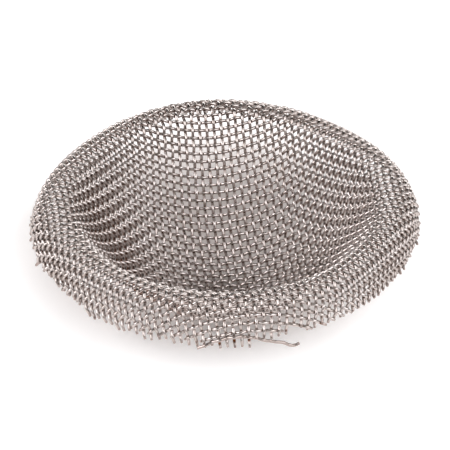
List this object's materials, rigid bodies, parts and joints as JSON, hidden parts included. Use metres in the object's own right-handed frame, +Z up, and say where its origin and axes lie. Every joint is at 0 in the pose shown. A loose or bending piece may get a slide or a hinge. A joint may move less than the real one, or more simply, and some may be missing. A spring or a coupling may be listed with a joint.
{
  "type": "filter screen",
  "caption": "Round filter screen pressed from woven wire, with a deep bowl and a rolled rim that a seat or ring clamps, to catch debris in a flow.",
  "frame": {"origin": "middle of the small flat at the bowl's underside, where the screen rests on a table", "axes": "+Z up along the bowl's axis, towards the rim's crest; +X and +Y along the two directions of the weave at the bowl's centre"},
  "size_m": [0.041, 0.0439, 0.0128],
  "materials": {
    "wire_cloth": "satin drawn wire"
  },
  "bodies": {
    "root": {"screen": "wire_cloth"}
  },
  "joints": []
}
